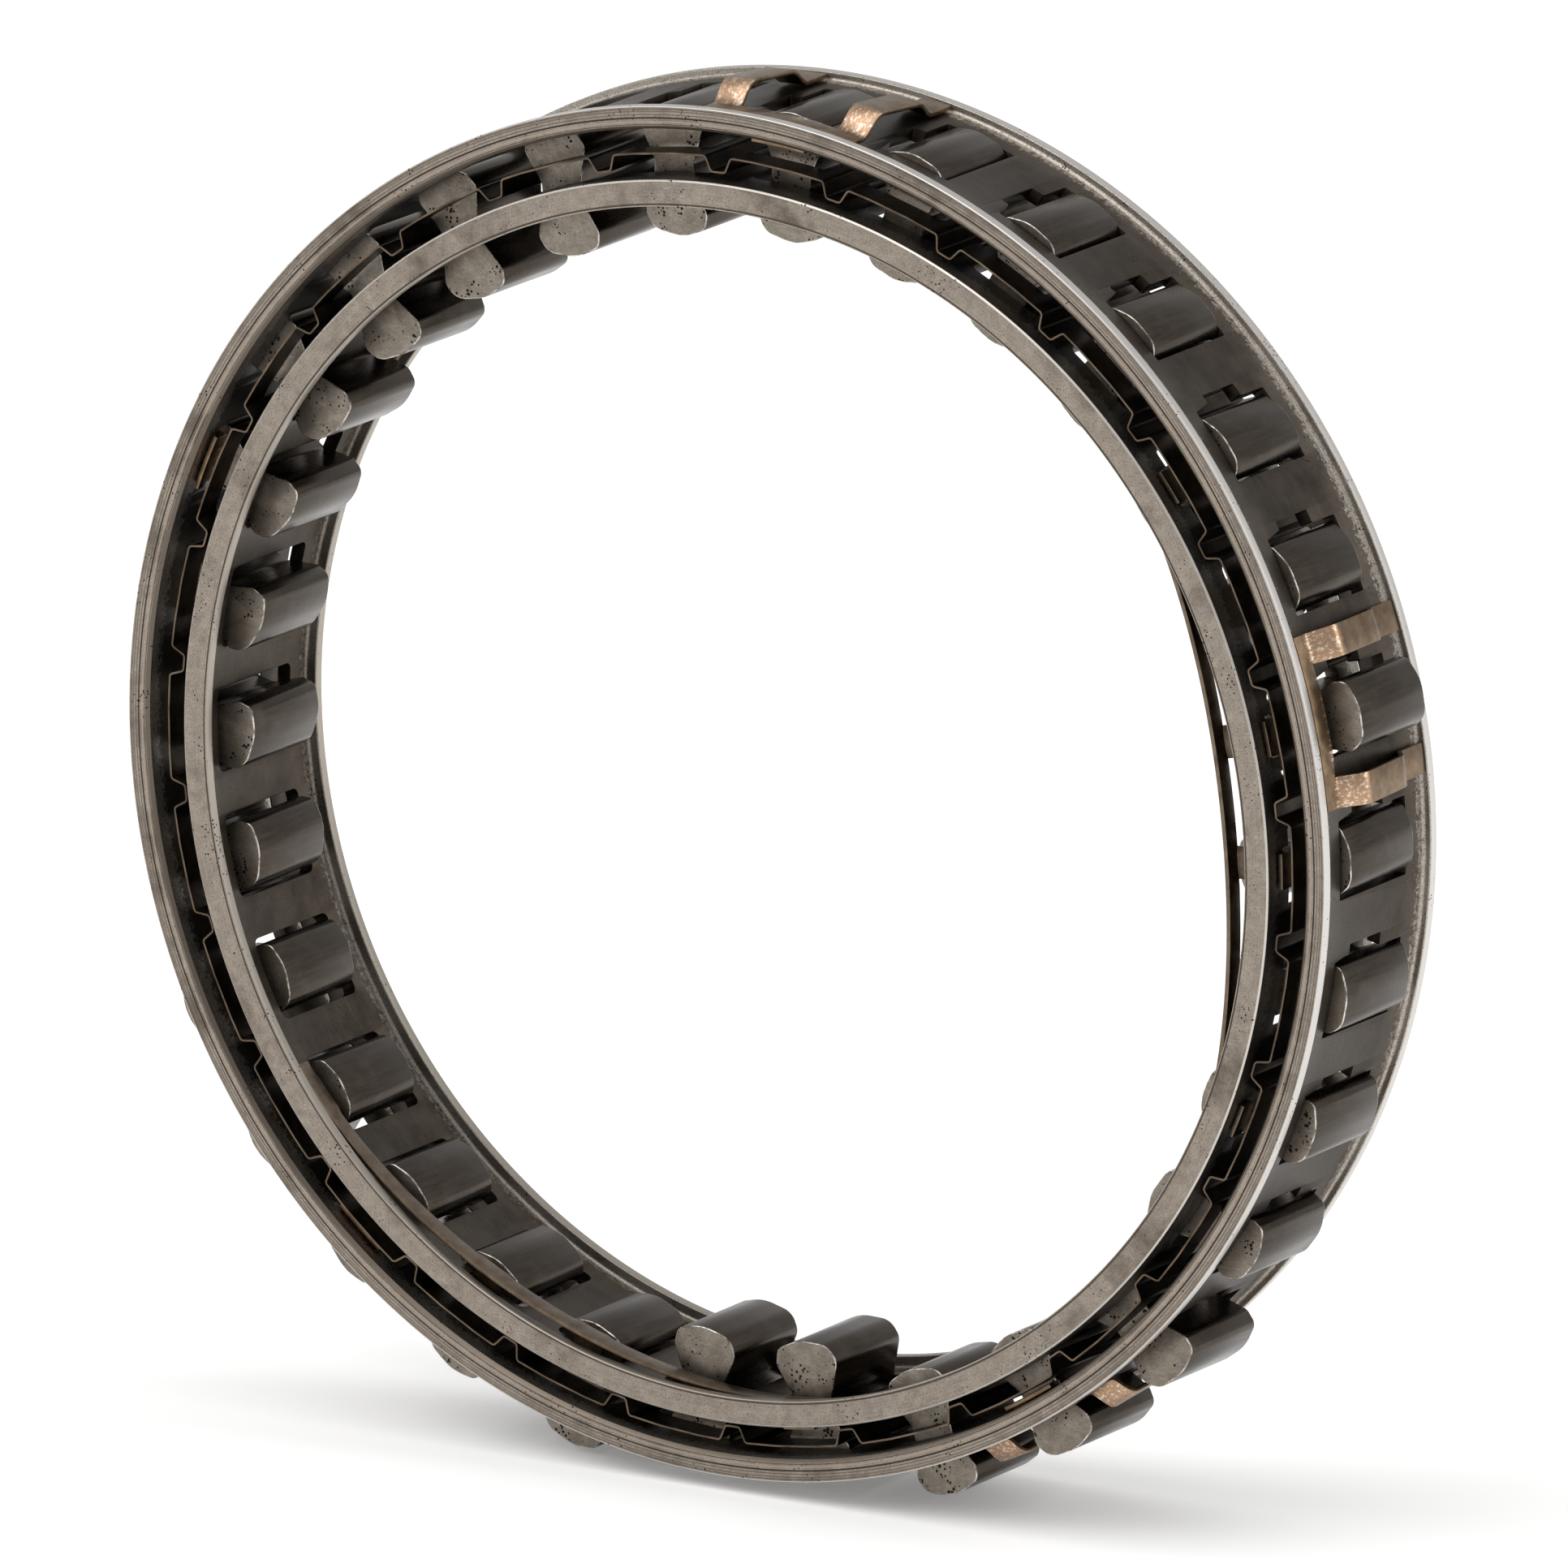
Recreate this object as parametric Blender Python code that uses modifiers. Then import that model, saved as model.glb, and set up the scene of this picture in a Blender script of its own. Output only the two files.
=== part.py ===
"""Sprag one-way clutch element: two slotted cages, a ribbon spring, thirty sprags and drag springs.

The ring stands upright: its axis lies along Y, the near face looks towards -Y and +Z is up.
Angles grow counter-clockwise as seen from the near face, starting at +X. Lengths are in metres.
"""

import math

import bmesh
import bpy
import numpy as np
from mathutils import Matrix, Vector

MM = 0.001
WELD_DISTANCE = 0.001 * MM

# Whole element
SPRAG_COUNT = 30
PITCH = 2 * math.pi / SPRAG_COUNT
WINDOW_ZERO = math.radians(13.2)
HALF_WIDTH = 8.0 * MM
FLANGE_THICK = 0.9 * MM
EDGE_BREAK = 0.2 * MM
RING_STEPS = 90

# Outer cage, a channel with its flanges turned outwards
OUTER_WEB_INSIDE = 49.87 * MM
OUTER_WEB_OUTSIDE = 50.95 * MM
OUTER_FLANGE = 51.6 * MM

# Inner cage, a channel with its flanges turned inwards. It hangs a little low in the outer cage.
INNER_WEB_OUTSIDE = 46.8 * MM
INNER_WEB_INSIDE = 45.7 * MM
INNER_FLANGE = 44.8 * MM
INNER_DROP = 0.7 * MM

# Windows, as distances from the sprag's own centre line
OUTER_WINDOW_END = 4.7 * MM
OUTER_WINDOW_CW = 2.87 * MM
OUTER_WINDOW_CCW = 3.05 * MM
NOTCH_DEPTH = 1.05 * MM
NOTCH_STEP = 0.35 * MM
NOTCH_NEAR_END = -2.75 * MM
NOTCH_FAR_END = 1.6 * MM
INNER_WINDOW_END = 5.0 * MM
INNER_WINDOW_HALF = 3.2 * MM
INNER_WINDOW_CORNER = 0.6 * MM
CORNER_STEPS = 2
SLOT_END = 5.9 * MM
SLOT_CLEARANCE = 0.3 * MM
CUTTER_REACH = 0.55 * MM

# Ribbon spring
RIBBON_CHORD = 48.5 * MM
RIBBON_DIP = 47.35 * MM
RIBBON_THICK = 0.14 * MM
RIBBON_HALF_WIDTH = 7.5 * MM
RIBBON_WINDOW_HALF = 3.4 * MM
RIBBON_WINDOW_END = 5.2 * MM
RIBBON_SHIFT = (0.1 * MM, 0, -0.5 * MM)
DIP_SHIFT = math.radians(-0.5)
DIP_HALF_TOP = 1.1 * MM
DIP_HALF_BOTTOM = 0.35 * MM
DIP_SIDE = 0.55

# Sprags
SPRAG_HALF_LENGTH = 4.45 * MM
SPRAG_MIDDLE = 47.2 * MM
SPRAG_PIVOT = 50.3 * MM
INNER_WEB_MIDDLE = (INNER_WEB_INSIDE + INNER_WEB_OUTSIDE) / 2
FULL_FLOAT = 2.25 * MM
SHIFT_SHARE = 0.6
# Where the sprags have slid to with the element on edge, as (angle in degrees, outward slide in mm)
FLOAT_STATIONS = (
    (0, -0.3),
    (84, -0.6),
    (112, -1.65),
    (122, -1.6),
    (158, 0.0),
    (182, 0.5),
    (205, 2.25),
    (313, 2.25),
    (326, 0.9),
    (348, 0.3),
)
# How far their inner heads have swung counter-clockwise besides, as (angle in degrees, lean in degrees)
LEAN_STATIONS = ((84, 0), (109, 7.5), (121, 8.5), (157, 4.4), (169, 3.8), (186, 0))
PROUD_SPRAG = 0
PROUD_FLOAT = 1.85 * MM
SUPPORTED_FLOAT = -0.6 * MM
SUPPORT_ANGLE = math.radians(271.0)
SUPPORT_REACH = math.radians(9.0)
# Half of the profile as corners (counter-clockwise side, outward, fillet), in mm. The other half is
# the same, turned by 180 degrees.
HALF_PROFILE = (
    (1.65, 0.7, 0.9),
    (2.75, 3.1, 0.8),
    (2.55, 4.3, 0.8),
    (0.6, 4.95, 3.5),
    (-1.95, 4.5, 1.5),
    (-2.6, 3.2, 1.0),
    (-1.75, 0.6, 0.9),
)
FILLET_STEPS = 2
SHARP_ANGLE = math.radians(40)

# Bronze drag springs
BRONZE_SHEET = 0.35 * MM
BRONZE_GAP = 0.2 * MM
RAIL_OUTER_EDGE = 6.9 * MM
RAIL_INNER_EDGE = 5.42 * MM
TAB_TIP = 6.65 * MM

# Outer drag clips: a near rail with two humped bars beside one sprag, and a tab folded in
CLIP_EVERY = 6
CLIP_COUNT = 5
BAR_INNER_EDGE = 4.2 * MM
BAR_OUTER_EDGE = 6.5 * MM
HUMP_HEIGHT = 1.6 * MM
# The hump as (distance from the near rail, share of its height)
HUMP_STATIONS = ((0.35 * MM, 0.0), (1.6 * MM, 0.93), (2.1 * MM, 1.0), (7.8 * MM, 0.75), (9.3 * MM, 0.0))
CLIP_TAB_HALF = 2.35 * MM

# Inner drag strips: a long bowed rail with hooks out through four windows
STRIP_CENTRES = (math.radians(7.2), math.radians(247.2))
STRIP_HALF_ANGLE = math.radians(33.6)
# How far each strip bows, and the exponent of the bow: the smaller it is, the fuller the bow
STRIP_BOWS = ((2.8 * MM, 0.5), (1.3 * MM, 0.7))
STRIP_STEP = math.radians(3.5)
STRIP_TAB_PITCHES = (-2.5, -0.5, 0.5, 2.5)
STRIP_TAB_HALF = 1.3 * MM

# Materials as (colour, metallic, roughness)
OUTER_CAGE_LOOK = ((0.42, 0.39, 0.36), 1.0, 0.4)
INNER_CAGE_LOOK = ((0.40, 0.37, 0.34), 1.0, 0.42)
RIBBON_LOOK = ((0.33, 0.22, 0.15), 1.0, 0.35)
SPRAG_LOOK = ((0.16, 0.14, 0.12), 1.0, 0.33)
BRONZE_LOOK = ((0.45, 0.27, 0.13), 1.0, 0.34)


def clear_scene():
    for obj in list(bpy.data.objects):
        bpy.data.objects.remove(obj, do_unlink=True)


def new_collection(name):
    collection = bpy.data.collections.new(name)
    bpy.context.scene.collection.children.link(collection)
    return collection


def new_material(name, colour, metallic, roughness):
    material = bpy.data.materials.new(name)
    material.use_nodes = True
    shader = material.node_tree.nodes["Principled BSDF"]
    shader.inputs["Base Color"].default_value = (*colour, 1.0)
    shader.inputs["Metallic"].default_value = metallic
    shader.inputs["Roughness"].default_value = roughness
    return material


def add_object(collection, name, data, location=(0, 0, 0)):
    obj = bpy.data.objects.new(name, data)
    obj.location = location
    collection.objects.link(obj)
    return obj


def add_node(collection, name, mesh, location, look):
    """A sub-part with a material of its own."""
    mesh.materials.append(new_material(name, *look))
    return add_object(collection, name, mesh, location)


def add_cutter(collection, name, mesh, location=(0, 0, 0)):
    obj = add_object(collection, name, mesh, location)
    obj.hide_render = True
    obj.display_type = "WIRE"
    return obj


def cut(obj, cutter):
    boolean = obj.modifiers.new(cutter.name, "BOOLEAN")
    boolean.operation = "DIFFERENCE"
    boolean.solver = "EXACT"
    boolean.object = cutter


def thicken(obj, thickness):
    solidify = obj.modifiers.new("sheet", "SOLIDIFY")
    solidify.thickness = thickness
    solidify.offset = 0
    solidify.use_even_offset = True


def window_angle(index):
    return WINDOW_ZERO + index * PITCH


def outward(angle):
    return Vector((math.cos(angle), 0, math.sin(angle)))


def on_ring(radius, angle, y):
    return outward(angle) * radius + Vector((0, y, 0))


def ring_turn(angle):
    """Rotation that takes X to the counter-clockwise direction at the angle, keeps Y and takes Z inwards."""
    out = outward(angle)
    side = Vector((-out.z, 0, out.x))
    return Matrix((side, (0, 1, 0), -out)).transposed().to_4x4()


def rounded(corners, steps):
    """The outline through corners (x, y, radius), each rounded by an arc of the given number of steps."""
    outline = []
    count = len(corners)
    for index in range(count):
        corner = Vector(corners[index][:2])
        before = (Vector(corners[index - 1][:2]) - corner).normalized()
        after = (Vector(corners[(index + 1) % count][:2]) - corner).normalized()
        half_angle = before.angle(after) / 2
        reach = corners[index][2] / math.tan(half_angle)
        centre = corner + (before + after).normalized() * corners[index][2] / math.sin(half_angle)
        start = corner + before * reach - centre
        turn = start.angle_signed(corner + after * reach - centre)
        for step in range(steps + 1):
            outline.append(centre + Matrix.Rotation(-turn * step / steps, 2) @ start)
    return outline


def plate_mesh(name, outline, half_thickness):
    """A flat outline in the XY plane, extruded along Z by half_thickness each way."""
    curve = bpy.data.curves.new(name, "CURVE")
    curve.dimensions = "2D"
    curve.fill_mode = "BOTH"
    curve.extrude = half_thickness
    spline = curve.splines.new("POLY")
    spline.points.add(len(outline) - 1)
    for point, (x, y) in zip(spline.points, outline):
        point.co = (x, y, 0, 1)
    spline.use_cyclic_u = True
    obj = add_object(bpy.context.scene.collection, name, curve)
    evaluated = obj.evaluated_get(bpy.context.evaluated_depsgraph_get())
    mesh = bpy.data.meshes.new_from_object(evaluated)
    bpy.data.objects.remove(obj, do_unlink=True)
    bm = bmesh.new()
    bm.from_mesh(mesh)
    bmesh.ops.remove_doubles(bm, verts=bm.verts, dist=WELD_DISTANCE)
    bmesh.ops.recalc_face_normals(bm, faces=bm.faces)
    bm.to_mesh(mesh)
    bm.free()
    mesh.name = name
    return mesh


def placed_copies(name, plate, places):
    """One mesh that holds a copy of the plate at each place, a 4x4 matrix."""
    bm = bmesh.new()
    for place in places:
        bm.from_mesh(plate)
        bmesh.ops.transform(bm, matrix=place, verts=bm.verts[-len(plate.vertices):])
    mesh = bpy.data.meshes.new(name)
    bm.to_mesh(mesh)
    bm.free()
    return mesh


def cutter_mesh(name, outline, angles, low, high):
    """Radial prisms through a web at each angle, from radius low to high. The outline is (sideways, y)."""
    plate = plate_mesh(name, outline, (high - low) / 2)
    middle = Matrix.Translation((0, 0, -(low + high) / 2))
    return placed_copies(name, plate, [ring_turn(angle) @ middle for angle in angles])


def rectangle(half_x, low_y, high_y):
    return [(-half_x, low_y), (half_x, low_y), (half_x, high_y), (-half_x, high_y)]


def channel(web_back, web_face, flange_edge):
    """Channel section as (radius, y): web_back is the plain side, and the flanges stand past web_face."""
    towards = 1 if flange_edge > web_face else -1
    corner = towards * EDGE_BREAK
    inside = HALF_WIDTH - FLANGE_THICK
    half = [
        (web_back, HALF_WIDTH - EDGE_BREAK),
        (web_back + corner, HALF_WIDTH),
        (flange_edge, HALF_WIDTH),
        (flange_edge, inside),
        (web_face + corner, inside),
        (web_face, inside - EDGE_BREAK),
    ]
    outline = half + [(radius, -y) for radius, y in reversed(half)]
    return outline[::-towards]


def wire_mesh(name, points):
    """A closed wire through the points, ready for a Screw."""
    bm = bmesh.new()
    verts = [bm.verts.new(point) for point in points]
    for index, vert in enumerate(verts):
        bm.edges.new((vert, verts[(index + 1) % len(verts)]))
    mesh = bpy.data.meshes.new(name)
    bm.to_mesh(mesh)
    bm.free()
    return mesh


def turned_cage(parts, name, section, location, look):
    mesh = wire_mesh(name, [(radius, y, 0) for radius, y in section])
    cage = add_node(parts, name, mesh, location, look)
    screw = cage.modifiers.new("turn", "SCREW")
    screw.axis = "Y"
    screw.angle = 2 * math.pi
    screw.steps = RING_STEPS
    screw.render_steps = RING_STEPS
    screw.use_merge_vertices = True
    screw.merge_threshold = WELD_DISTANCE
    screw.use_smooth_shade = True
    return cage


def clip_angles():
    return [window_angle(CLIP_EVERY * number) for number in range(CLIP_COUNT)]


def build_outer_cage(parts, cutters):
    section = channel(OUTER_WEB_INSIDE, OUTER_WEB_OUTSIDE, OUTER_FLANGE)
    cage = turned_cage(parts, "outer_cage", section, (0, 0, 0), OUTER_CAGE_LOOK)
    low, high = OUTER_WEB_INSIDE - CUTTER_REACH, OUTER_WEB_OUTSIDE + CUTTER_REACH
    end, side, notch = OUTER_WINDOW_END, OUTER_WINDOW_CCW, OUTER_WINDOW_CCW + NOTCH_DEPTH
    window = [
        (-OUTER_WINDOW_CW, -end),
        (side, -end),
        (side + NOTCH_STEP, NOTCH_NEAR_END),
        (notch, NOTCH_NEAR_END),
        (notch, NOTCH_FAR_END),
        (side, NOTCH_FAR_END),
        (side, end),
        (-OUTER_WINDOW_CW, end),
    ]
    angles = [window_angle(index) for index in range(SPRAG_COUNT)]
    cut(cage, add_cutter(cutters, "outer_windows", cutter_mesh("outer_windows", window, angles, low, high)))
    slot = rectangle(CLIP_TAB_HALF + SLOT_CLEARANCE, -SLOT_END, 0)
    cut(cage, add_cutter(cutters, "outer_slots", cutter_mesh("outer_slots", slot, clip_angles(), low, high)))


def build_inner_cage(parts, cutters):
    section = channel(INNER_WEB_OUTSIDE, INNER_WEB_INSIDE, INNER_FLANGE)
    centre = (0, 0, -INNER_DROP)
    cage = turned_cage(parts, "inner_cage", section, centre, INNER_CAGE_LOOK)
    low, high = INNER_WEB_INSIDE - CUTTER_REACH, INNER_WEB_OUTSIDE + CUTTER_REACH
    corners = rectangle(INNER_WINDOW_HALF, -INNER_WINDOW_END, INNER_WINDOW_END)
    window = rounded([(x, y, INNER_WINDOW_CORNER) for x, y in reversed(corners)], CORNER_STEPS)
    angles = [window_angle(index) for index in range(SPRAG_COUNT)]
    mesh = cutter_mesh("inner_windows", window, angles, low, high)
    cut(cage, add_cutter(cutters, "inner_windows", mesh, centre))
    slot = rectangle(STRIP_TAB_HALF + SLOT_CLEARANCE, -SLOT_END, 0)
    angles = [middle + steps * PITCH for middle in STRIP_CENTRES for steps in STRIP_TAB_PITCHES]
    mesh = cutter_mesh("inner_slots", slot, angles, low, high)
    cut(cage, add_cutter(cutters, "inner_slots", mesh, centre))


def ribbon_wire():
    """The ribbon's section: chords over the windows, and a dip between each two, as (radius, angle)."""
    wire = []
    edge = RIBBON_WINDOW_HALF / RIBBON_CHORD
    top = DIP_HALF_TOP / RIBBON_CHORD
    foot = DIP_HALF_BOTTOM / RIBBON_DIP
    knee = DIP_SIDE * foot + (1 - DIP_SIDE) * top
    half_way = (RIBBON_CHORD + RIBBON_DIP) / 2
    for index in range(SPRAG_COUNT):
        window = window_angle(index)
        dip = window + PITCH / 2 + DIP_SHIFT
        wire.append((RIBBON_CHORD, window))
        wire.append((RIBBON_CHORD, window + edge))
        wire += [(RIBBON_CHORD, dip - top), (half_way, dip - knee), (RIBBON_DIP, dip - foot)]
        wire += [(RIBBON_DIP, dip + foot), (half_way, dip + knee), (RIBBON_CHORD, dip + top)]
        wire.append((RIBBON_CHORD, window + PITCH - edge))
    return wire + wire[:1]


def build_ribbon(parts, cutters):
    radii, angles = zip(*ribbon_wire())
    bm = bmesh.new()
    run = ring_run(bm, radii, angles, -RIBBON_HALF_WIDTH)
    extrude(bm, run, shift_y(2 * RIBBON_HALF_WIDTH))
    ribbon = add_node(parts, "ribbon_spring", sheet_from(bm, "ribbon_spring"), RIBBON_SHIFT, RIBBON_LOOK)
    thicken(ribbon, RIBBON_THICK)
    window = rectangle(RIBBON_WINDOW_HALF, -RIBBON_WINDOW_END, RIBBON_WINDOW_END)
    angles = [window_angle(index) for index in range(SPRAG_COUNT)]
    mesh = cutter_mesh("ribbon_windows", window, angles, RIBBON_DIP, RIBBON_CHORD + CUTTER_REACH)
    cut(ribbon, add_cutter(cutters, "ribbon_windows", mesh, RIBBON_SHIFT))


def sprag_outline():
    corners = [(x * MM, y * MM, radius * MM) for x, y, radius in HALF_PROFILE]
    corners += [(-x, -y, radius) for x, y, radius in corners]
    return rounded(corners, FILLET_STEPS)


def at_angle(stations, angle):
    """Reads stations (angle in degrees, value) at an angle, all round the ring."""
    angles, values = zip(*stations)
    return np.interp(math.degrees(angle), angles, values, period=360)


def sprag_float(index):
    """How far out the sprag has slid. The lower ones hang out to their stops, the upper ones have slid in."""
    angle = window_angle(index) % (2 * math.pi)
    if index == PROUD_SPRAG:
        return PROUD_FLOAT
    if abs(angle - SUPPORT_ANGLE) < SUPPORT_REACH:
        return SUPPORTED_FLOAT
    return MM * at_angle(FLOAT_STATIONS, angle)


def build_sprags(parts):
    """Each sprag hangs on an empty on its pivot, turned so that X runs along the ring and Z points inwards.

    The sprag passes through the middle of its inner window, which has dropped with the inner cage. The
    further it has slid out or in, the freer it is to shift along with that window. Otherwise it leans.
    """
    plate = plate_mesh("sprag", sprag_outline(), SPRAG_HALF_LENGTH)
    for index in range(SPRAG_COUNT):
        angle = window_angle(index)
        offset = -INNER_DROP * math.cos(angle)
        out = sprag_float(index)
        shift = offset * SHIFT_SHARE * min((out / FULL_FLOAT) ** 2, 1)
        lean = -math.atan((offset - shift) / (SPRAG_PIVOT - INNER_WEB_MIDDLE))
        lean -= math.radians(at_angle(LEAN_STATIONS, angle))
        name = f"sprag_{index + 1:02d}"
        pivot = add_object(parts, f"{name}_pivot", None, outward(angle) * SPRAG_PIVOT)
        pivot.rotation_euler = ring_turn(angle + lean).to_euler()
        sprag = add_node(parts, name, plate.copy(), (shift, 0, SPRAG_PIVOT - SPRAG_MIDDLE - out), SPRAG_LOOK)
        sprag.rotation_euler = (math.radians(-90), 0, 0)
        sprag.parent = pivot
        sprag.data.shade_smooth()
        sprag.data.set_sharp_from_angle(angle=SHARP_ANGLE)


def ring_run(bm, radii, angles, y):
    """An open wire through a radius at each angle. Returns its edges."""
    verts = [bm.verts.new(on_ring(radius, angle, y)) for radius, angle in zip(radii, angles)]
    return [bm.edges.new(pair) for pair in zip(verts, verts[1:])]


def extrude(bm, run, move):
    """Extrudes a run of edges and moves the new points by the function. Returns the new run."""
    made = bmesh.ops.extrude_edge_only(bm, edges=run)["geom"]
    verts = {part for part in made if isinstance(part, bmesh.types.BMVert)}
    for vert in verts:
        vert.co = move(vert.co)
    return [edge for edge in bm.edges if verts.issuperset(edge.verts)]


def shift_y(distance):
    return lambda place: place + Vector((0, distance, 0))


def bring_to(radius, y):
    """Moves a point to another radius and y at the same angle."""
    return lambda place: Vector((place.x, 0, place.z)).normalized() * radius + Vector((0, y, 0))


def near_angle(run, angle, low, high):
    """The edges of the run whose middle lies between low and high from the angle, along the ring."""
    side = ring_turn(angle).col[0].to_3d()
    middles = [(edge.verts[0].co + edge.verts[1].co) / 2 for edge in run]
    return [edge for edge, middle in zip(run, middles) if low < abs(middle.dot(side)) < high]


def sheet_from(bm, name):
    bmesh.ops.remove_doubles(bm, verts=bm.verts, dist=WELD_DISTANCE)
    bmesh.ops.recalc_face_normals(bm, faces=bm.faces)
    mesh = bpy.data.meshes.new(name)
    bm.to_mesh(mesh)
    bm.free()
    return mesh


def clip_mesh(name, angle):
    rest = OUTER_WEB_OUTSIDE + BRONZE_GAP + BRONZE_SHEET / 2
    under = OUTER_WEB_INSIDE - BRONZE_GAP - BRONZE_SHEET / 2
    half = [0, CLIP_TAB_HALF, BAR_INNER_EDGE, BAR_OUTER_EDGE]
    marks = [-mark for mark in reversed(half)] + half[1:]
    angles = [angle + mark / rest for mark in marks]
    bm = bmesh.new()
    near_rail = ring_run(bm, [rest] * len(marks), angles, -RAIL_OUTER_EDGE)
    near_rail = extrude(bm, near_rail, bring_to(rest, -RAIL_INNER_EDGE))
    tab = near_angle(near_rail, angle, 0, CLIP_TAB_HALF)
    tab = extrude(bm, tab, bring_to(under, -RAIL_INNER_EDGE))
    extrude(bm, tab, bring_to(under, -TAB_TIP))
    bars = near_angle(near_rail, angle, BAR_INNER_EDGE, BAR_OUTER_EDGE)
    for distance, share in HUMP_STATIONS:
        bars = extrude(bm, bars, bring_to(rest + share * HUMP_HEIGHT, distance - RAIL_INNER_EDGE))
    bars = extrude(bm, bars, bring_to(rest, RAIL_INNER_EDGE))
    extrude(bm, bars, bring_to(rest, RAIL_OUTER_EDGE))
    return sheet_from(bm, name)


def build_clips(parts):
    for number, angle in enumerate(clip_angles(), 1):
        name = f"outer_drag_clip_{number}"
        clip = add_node(parts, name, clip_mesh(name, angle), (0, 0, 0), BRONZE_LOOK)
        thicken(clip, BRONZE_SHEET)


def strip_turns():
    """Angles along a strip from its middle: its ends, both sides of each hook, and steps between them."""
    half_tab = STRIP_TAB_HALF / INNER_WEB_INSIDE
    breaks = [-STRIP_HALF_ANGLE, STRIP_HALF_ANGLE]
    for steps in STRIP_TAB_PITCHES:
        breaks += [steps * PITCH - half_tab, steps * PITCH + half_tab]
    breaks.sort()
    turns = []
    for low, high in zip(breaks, breaks[1:]):
        pieces = max(1, round((high - low) / STRIP_STEP))
        turns += [low + (high - low) * piece / pieces for piece in range(pieces)]
    return turns + [STRIP_HALF_ANGLE]


def strip_mesh(name, centre, bow, exponent):
    """The rail lies against the web at its ends and bows inwards between them."""
    rest = INNER_WEB_INSIDE - BRONZE_GAP - BRONZE_SHEET / 2
    over = INNER_WEB_OUTSIDE + BRONZE_GAP / 2 + BRONZE_SHEET / 2
    turns = strip_turns()
    rises = [0.5 + 0.5 * math.cos(math.pi * turn / STRIP_HALF_ANGLE) for turn in turns]
    radii = [rest - bow * rise**exponent for rise in rises]
    bm = bmesh.new()
    rail = ring_run(bm, radii, [centre + turn for turn in turns], -RAIL_OUTER_EDGE)
    rail = extrude(bm, rail, shift_y(RAIL_OUTER_EDGE - RAIL_INNER_EDGE))
    for steps in STRIP_TAB_PITCHES:
        hook = near_angle(rail, centre + steps * PITCH, 0, STRIP_TAB_HALF)
        hook = extrude(bm, hook, bring_to(over, -RAIL_INNER_EDGE))
        extrude(bm, hook, bring_to(over, -TAB_TIP))
    return sheet_from(bm, name)


def build_strips(parts):
    for number, (centre, bow) in enumerate(zip(STRIP_CENTRES, STRIP_BOWS), 1):
        name = f"inner_drag_strip_{number}"
        strip = add_node(parts, name, strip_mesh(name, centre, *bow), (0, 0, -INNER_DROP), BRONZE_LOOK)
        thicken(strip, BRONZE_SHEET)


def main():
    clear_scene()
    parts = new_collection("sprag_clutch_element")
    cutters = new_collection("cutters")
    build_outer_cage(parts, cutters)
    build_inner_cage(parts, cutters)
    build_ribbon(parts, cutters)
    build_sprags(parts)
    build_clips(parts)
    build_strips(parts)


main()
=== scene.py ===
"""Looks of the sprag one-way clutch element: fine cages, sprags and springs that stand for the frame's nodes.

The frame's axis lies along Y, the near face looks towards -Y and +Z is up. Angles grow
counter-clockwise as seen from the near face, starting at +X. Lengths are in metres.
"""

import math

import bmesh
import bpy
import numpy as np
from mathutils import Matrix, Vector


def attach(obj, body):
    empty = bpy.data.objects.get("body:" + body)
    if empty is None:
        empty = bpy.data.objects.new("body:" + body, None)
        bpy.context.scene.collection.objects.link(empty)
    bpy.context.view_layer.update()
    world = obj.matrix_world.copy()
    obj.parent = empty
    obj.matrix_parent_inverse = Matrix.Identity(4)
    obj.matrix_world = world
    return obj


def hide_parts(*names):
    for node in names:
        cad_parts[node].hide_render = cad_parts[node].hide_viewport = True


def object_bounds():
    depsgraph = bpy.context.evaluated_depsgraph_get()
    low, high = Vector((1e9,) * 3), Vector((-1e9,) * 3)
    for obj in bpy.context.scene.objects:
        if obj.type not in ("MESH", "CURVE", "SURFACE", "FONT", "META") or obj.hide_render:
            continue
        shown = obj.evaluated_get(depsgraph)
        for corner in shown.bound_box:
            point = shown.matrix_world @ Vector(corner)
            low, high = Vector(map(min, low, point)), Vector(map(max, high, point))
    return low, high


MM = 0.001
WELD_DISTANCE = 0.001 * MM

# Whole element
SPRAG_COUNT = 30
PITCH = 2 * math.pi / SPRAG_COUNT
WINDOW_ZERO = math.radians(13.2)
HALF_WIDTH = 8.0 * MM
FLANGE_THICK = 0.9 * MM
RING_STEPS = 360
CORNER_STEPS = 4
SHARP_ANGLE = math.radians(32)
BEVEL_ANGLE = math.radians(40)
FLAT_ANGLE = math.radians(0.1)
MIDDLE_RADIUS_MM = 48.0
INNER_DROP = 0.7 * MM
CUTTER_REACH = 0.55 * MM

# Cages: both are channels whose plain side has a bevelled edge and whose flange face has a turned groove
OUTER_WEB_INSIDE = 49.87 * MM
OUTER_WEB_OUTSIDE = 50.95 * MM
OUTER_FLANGE = 51.6 * MM
OUTER_GROOVE = 50.72 * MM
INNER_WEB_OUTSIDE = 46.8 * MM
INNER_WEB_INSIDE = 45.7 * MM
INNER_FLANGE = 44.8 * MM
INNER_GROOVE = 44.98 * MM
OUTER_BACK_BEVEL = 0.28 * MM
INNER_BACK_BEVEL = 0.12 * MM
GROOVE_WIDTH = 0.08 * MM
GROOVE_DEPTH = 0.05 * MM
RIM_ROUND = 0.1 * MM
FOLD_ROUND = 0.3 * MM
EDGE_WEAR = 0.05 * MM

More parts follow.
